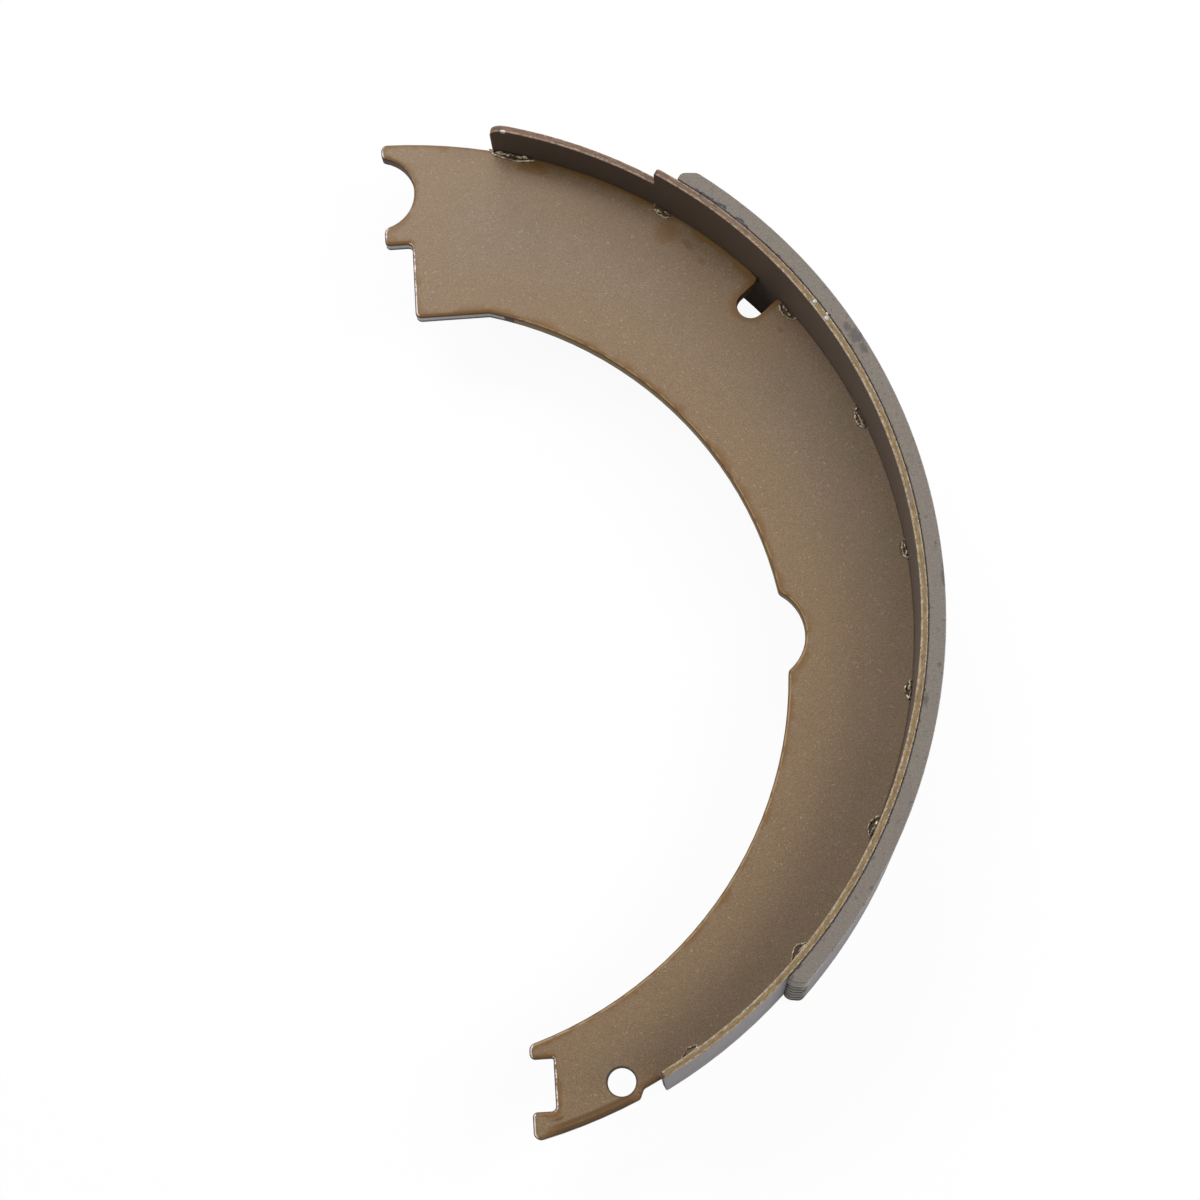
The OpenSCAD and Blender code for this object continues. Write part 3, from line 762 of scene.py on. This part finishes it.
adhesive = {"radius": 147.76, "inset": 0.05, "inward": 1.3, "outward": 0.75, "from": -46.3, "to": 53.45,
            "steps": 1500, "thick": 0.14, "sides": 8, "film": (147.6, 147.8), "filmHalf": 25.1,
            "filmSteps": 140, "least": 0.3, "most": 8.0,
            # where more is squeezed out: from, to, how much
            "blots": [(43.0, 51.8, 7.0), (32.0, 43.0, 1.6), (24.0, 30.0, 0.7), (-16.0, -8.0, 0.6),
                      (-46.3, -43.0, 1.4), (-43.0, -30.0, 0.5)],
            "black": (0.010, 0.009, 0.010, 1), "brown": (0.050, 0.038, 0.030, 1),
            "blue": (0.055, 0.055, 0.068, 1), "blueFrom": (41, 44)}


def makeAdhesive():
    material, tree, shader = newMaterial("adhesive", **{"Specular IOR Level": 0.4})
    place = useGroup(tree, placeGroup)
    patch = cloud(tree, place["Spot"], 1.4, 3.0)
    pale = mix(tree, ease(tree, place["Angle"], *adhesive["blueFrom"]), adhesive["brown"], adhesive["blue"])
    colour = mix(tree, ease(tree, patch, 0.35, 0.65), adhesive["black"], pale)
    finishShader(tree, shader, colour, ease(tree, patch, 0.3, 0.7, 0.3, 0.65), patch, 0.4, 0.0003)
    return material


def swellAt(degrees, side):      # how far the squeezed-out adhesive swells at this angle
    swell = 0.9 + 1.8 * noise.noise(Vector((degrees * 0.9, side * 9, 0)))
    swell += 1.5 * noise.noise(Vector((degrees * 2.4, side * 9, 4)))
    for start, stop, more in adhesive["blots"]:
        if start < degrees < stop:
            share = math.sin(math.pi * (degrees - start) / (stop - start)) ** 0.5
            lumps = noise.noise(Vector((degrees * 0.7, 2, side * 5)))
            lumps += 0.6 * noise.noise(Vector((degrees * 1.9, 7, side * 5)))
            swell += more * share * (0.35 + 1.1 * lumps)
    return min(max(swell, adhesive["least"]), adhesive["most"])


def makeSqueezedBead(side):
    part = bmesh.new()
    level = side * (widthHalf - adhesive["inset"] * mm)
    start, radius = adhesive["from"], adhesive["radius"] * mm
    bmesh.ops.create_circle(part, segments=adhesive["sides"], radius=adhesive["thick"] * mm)
    bmesh.ops.transform(part, verts=part.verts,
                        matrix=turned(start) @ Matrix.Translation((radius, 0, level)) @ turned(90, "X"))
    bmesh.ops.spin(part, geom=part.edges[:], cent=(0, 0, 0), axis=(0, 0, 1), steps=adhesive["steps"],
                   angle=math.radians(adhesive["to"] - start))
    for vert in part.verts:
        degrees = angleOf(vert.co)
        swell = swellAt(degrees, side)
        middle = polar(radius, degrees, level)
        off = vert.co - middle
        outward = max(swell - 1, 0) * adhesive["outward"] * adhesive["thick"] * mm
        if off.dot(middle) < 0:
            swell = min(swell, adhesive["inward"])
        vert.co = middle + Vector((off.x * swell, off.y * swell, off.z)) + polar(outward, degrees)
        if side < 0:      # the far side lies flat on the floor
            vert.co.z = max(vert.co.z, -widthHalf)
    closePart(part)
    return part


def makeAdhesiveLine():
    bm = bmesh.new()
    inner, outer = adhesive["film"]
    bmesh.ops.create_grid(bm, x_segments=1, y_segments=1, size=0.5)
    bmesh.ops.transform(bm, verts=bm.verts, matrix=turned(adhesive["from"]) @
                        Matrix.Translation(((inner + outer) / 2 * mm, 0, 0)) @ turned(90, "X") @
                        Matrix.Diagonal(((outer - inner) * mm, 2 * adhesive["filmHalf"] * mm, 1, 1)))
    bmesh.ops.spin(bm, geom=bm.edges[:], cent=(0, 0, 0), axis=(0, 0, 1), steps=adhesive["filmSteps"],
                   angle=math.radians(adhesive["to"] - adhesive["from"]))
    closePart(bm)
    for side in (-1, 1):
        addPart(bm, makeSqueezedBead(side))
    return finishPiece(bm, "adhesive_line", makeAdhesive(), ["bond_film"], weighted=False)


# Weld beads: a ragged lip curls round a hollow beside the table, with leaves of metal lying in it

bead = {"lip": 0.30, "lipSides": 12, "lipSteps": 48, "lift": 0.15, "endPinch": 0.5, "sizeSpread": 0.3,
        # waves along the lip: how many in each radian, and how strong
        "thickWave": (2.3, 1.1), "liftWave": (1.9, 1.5),
        # roughness: its waves in each metre, and its depth in mm
        "ragged": (900, 0.33), "ripple": (3000, 0.10), "lowest": -0.1, "offTable": -0.02,
        "leafCount": 2, "longLeafCount": 5, "leaf": (0.55, 1.5, 0.6), "leafOut": (0.36, 0.35),
        "leafSpread": 0.7, "leafLift": 0.25, "leafTurn": 12,
        "dark": (0.075, 0.046, 0.023, 1), "bright": (0.40, 0.32, 0.21, 1)}


def makeWeldMetal():
    material, tree, shader = newMaterial("weld_metal", **{"Coat Weight": 0.5, "Coat Roughness": 0.1})
    patch = cloud(tree, useGroup(tree, placeGroup)["Spot"], 1.1, 3.0)
    colour = mix(tree, ease(tree, patch, 0.35, 0.6), bead["dark"], bead["bright"])
    tree.links.new(ease(tree, patch, 0.3, 0.7, 0.1, 0.55), shader.inputs["Metallic"])
    finishShader(tree, shader, colour, ease(tree, patch, 0.3, 0.7, 0.40, 0.24), patch, 0.3, 0.0003)
    return material


def makeLip(reach, halfLength, seed):
    part = bmesh.new()
    bmesh.ops.create_circle(part, segments=bead["lipSides"], radius=bead["lip"] * mm)
    bmesh.ops.transform(part, verts=part.verts, matrix=Matrix.Translation((0, -reach, 0)) @ turned(90, "Y"))
    bmesh.ops.spin(part, geom=part.edges[:], cent=(0, 0, 0), axis=(0, 0, -1), angle=math.pi,
                   steps=bead["lipSteps"])
    thickPitch, thickDepth = bead["thickWave"]
    liftPitch, liftDepth = bead["liftWave"]
    for vert in part.verts:
        turn = math.atan2(-vert.co.x, vert.co.y)
        middle = Vector((-math.sin(turn), math.cos(turn), 0)) * reach
        thick = bead["endPinch"] + (1 - bead["endPinch"]) * math.sin(turn)
        thick *= 1 + thickDepth * noise.noise(Vector((turn * thickPitch, seed.x, seed.y)))
        vert.co = middle + (vert.co - middle) * thick
        lift = 1 + liftDepth * noise.noise(Vector((turn * liftPitch, seed.y, seed.z)))
        vert.co.z += bead["lift"] * mm * lift
    bmesh.ops.scale(part, verts=part.verts, vec=(1, halfLength / reach, 1))
    closePart(part)
    return part


def makeLeaf(share, length, reach, drift):
    part = bmesh.new()
    wide, tall, high = bead["leaf"]
    out, outDrift = bead["leafOut"]
    bmesh.ops.create_icosphere(part, subdivisions=4, radius=mm)
    bmesh.ops.scale(part, verts=part.verts, vec=(wide * (1 + drift.z), tall * (1 + drift.y), high))
    place = (-reach * (out + outDrift * drift.x), share * bead["leafSpread"] * length * mm,
             bead["leafLift"] * mm)
    bmesh.ops.transform(part, verts=part.verts,
                        matrix=Matrix.Translation(place) @ turned(bead["leafTurn"] * drift.y))
    return part


def makeBeads(side, name, material):
    bm = bmesh.new()
    for index, (degrees, length) in enumerate(weldSpots):
        seed = Vector((index * 7.3 + 1.1, side * 3.1, index * 1.9))
        reach = (weld["smallReach"] if length < weld["length"] else weld["reach"]) * mm
        reach *= 1 + bead["sizeSpread"] * noise.noise(seed)
        one = makeLip(reach, length * mm / 2, seed)
        count = bead["longLeafCount"] if length > weld["length"] else bead["leafCount"]
        for number in range(count):
            drift = noise.noise_vector(seed + Vector((number * 5.1, 0, 0)))
            addPart(one, makeLeaf((number + 0.5) / count - 0.5, length, reach, drift))
        for vert in one.verts:
            for pitch, depth in (bead["ragged"], bead["ripple"]):
                vert.co += noise.noise_vector(vert.co * pitch + seed) * depth * mm
            vert.co.z = max(vert.co.z, bead["lowest"] * mm)
            vert.co.x = min(vert.co.x, bead["offTable"] * mm)
        bmesh.ops.transform(one, verts=one.verts,
                            matrix=turned(degrees) @ Matrix.Translation((tableIn * mm, 0, webHalf)))
        if side < 0:
            bmesh.ops.scale(one, verts=one.verts, vec=(1, 1, -1))
            bmesh.ops.recalc_face_normals(one, faces=one.faces)
        addPart(bm, one)
    nodeName = "near_weld_nuggets" if side > 0 else "far_weld_nuggets"
    return finishPiece(bm, name, material, [nodeName], creaseAngle=80, weighted=False)


drops = {"spots": [(32.8, 146.9, 0.62), (30.5, 146.7, 0.7), (30.9, 147.5, 0.4)], "flat": 0.45,
         "uneven": (1500, 0.16), "dark": (0.30, 0.27, 0.23, 1), "pale": (0.52, 0.50, 0.47, 1)}


def makeGlue():
    material, tree, shader = newMaterial("glue_drop", **{"Coat Weight": 0.6, "Coat Roughness": 0.05})
    patch = cloud(tree, useGroup(tree, placeGroup)["Spot"], 2.0, 2.0)
    colour = mix(tree, patch, drops["dark"], drops["pale"])
    finishShader(tree, shader, colour, ease(tree, patch, 0.3, 0.7, 0.12, 0.3), patch, 0.2, 0.0002)
    return material


def makeDrops():      # drops of glue on the table's near edge
    bm = bmesh.new()
    pitch, depth = drops["uneven"]
    for number, (degrees, radius, size) in enumerate(drops["spots"]):
        drop = bmesh.new()
        bmesh.ops.create_icosphere(drop, subdivisions=4, radius=size * mm)
        for vert in drop.verts:
            vert.co += noise.noise_vector(vert.co * pitch + Vector((number * 4, 0, 0))) * depth * mm
            vert.co.z *= drops["flat"]
        bmesh.ops.translate(drop, verts=drop.verts, vec=polar(radius * mm, degrees, widthHalf))
        addPart(bm, drop)
    return finishPiece(bm, "glue_drops", makeGlue(), creaseAngle=80, weighted=False)


makeWeb()
makeTable()
makeLining()
print("plate, table and lining are dressed")
makeAdhesiveLine()
weldMetal = makeWeldMetal()
makeBeads(1, "near_weld_beads", weldMetal)
makeBeads(-1, "far_weld_beads", weldMetal)
makeDrops()
print("adhesive, welds and drops are made")

studio = {
    "floorSize": 6.0, "floorGap": 0.05, "floorColour": (1.0, 1.0, 1.0, 1), "bounceColour": (0.5, 0.5, 0.5, 1),
    "shadowShare": 0.06, "worldLight": 0.13, "aim": (0.05, 0, 0), "distance": 1.2, "lampSize": 0.5,
    # name, direction round the drum's axis, height in degrees, power
    "lamps": [("over", 120, 55, 5.1), ("right", 0, 40, 5.8), ("left", 150, 40, 2.5), ("low", 325, 55, 2.2),
              ("back", 90, 25, 3.4), ("top", 90, 55, 1.1), ("front", 275, 25, 0.7)],
    "camera": (0.07774, -0.17735, 0.74865), "cameraTurn": (13.5302, 2.3396, -3.4187), "lens": 82.054,
}


def makeFloor():
    bm = bmesh.new()
    bmesh.ops.create_grid(bm, x_segments=1, y_segments=1, size=studio["floorSize"] / 2)
    bmesh.ops.translate(bm, verts=bm.verts, vec=(0, 0, -widthHalf - studio["floorGap"] * mm))
    mesh = bpy.data.meshes.new("floor")
    bm.to_mesh(mesh)
    bm.free()
    floor = bpy.data.objects.new("floor", mesh)
    bpy.context.scene.collection.objects.link(floor)
    material = bpy.data.materials.new("floor")
    material.use_nodes = True
    mesh.materials.append(material)
    tree = material.node_tree
    tree.nodes.clear()
    path = put(tree, "LightPath").outputs
    seen = path["Is Camera Ray"]
    shaded = put(tree, "BsdfDiffuse", {0: mix(tree, seen, studio["bounceColour"], studio["floorColour"])})
    white = put(tree, "Emission", {"Color": (1, 1, 1, 1), "Strength": 1.0})
    share = calc(tree, "MULTIPLY", seen, 1 - studio["shadowShare"])
    both = put(tree, "MixShader", {0: share, 1: shaded.outputs[0], 2: white.outputs[0]})
    put(tree, "OutputMaterial", {0: both.outputs[0]})


def makeWorld():
    world = bpy.data.worlds.new("studio")
    bpy.context.scene.world = world
    world.use_nodes = True
    tree = world.node_tree
    tree.nodes.clear()
    soft = put(tree, "Background", {0: (1, 1, 1, 1), 1: studio["worldLight"]})
    white = put(tree, "Background", {0: (1, 1, 1, 1), 1: 1.0})
    path = put(tree, "LightPath").outputs
    seen = calc(tree, "MAXIMUM", path["Is Camera Ray"], path["Is Glossy Ray"])
    both = put(tree, "MixShader", {0: seen, 1: soft.outputs[0], 2: white.outputs[0]})
    put(tree, "OutputWorld", {0: both.outputs[0]})


def makeLamps():
    for name, direction, height, power in studio["lamps"]:
        lamp = bpy.data.lights.new(name, "AREA")
        lamp.shape = "SQUARE"
        lamp.size, lamp.energy = studio["lampSize"], power
        holder = bpy.data.objects.new(name, lamp)
        level = math.radians(height)
        away = polar(math.cos(level), direction, math.sin(level)) * studio["distance"]
        holder.location = Vector(studio["aim"]) + away
        holder.rotation_euler = away.to_track_quat("Z", "Y").to_euler()
        bpy.context.scene.collection.objects.link(holder)


def makeCamera():
    lens = bpy.data.cameras.new("camera")
    lens.lens, lens.sensor_width, lens.clip_start = studio["lens"], 36.0, 0.01
    camera = bpy.data.objects.new("camera", lens)
    camera.location = studio["camera"]
    camera.rotation_euler = [math.radians(turn) for turn in studio["cameraTurn"]]
    bpy.context.scene.collection.objects.link(camera)
    bpy.context.scene.camera = camera


makeFloor()
makeWorld()
makeLamps()
makeCamera()
bpy.context.scene.view_settings.view_transform = "Standard"
print("studio is set")
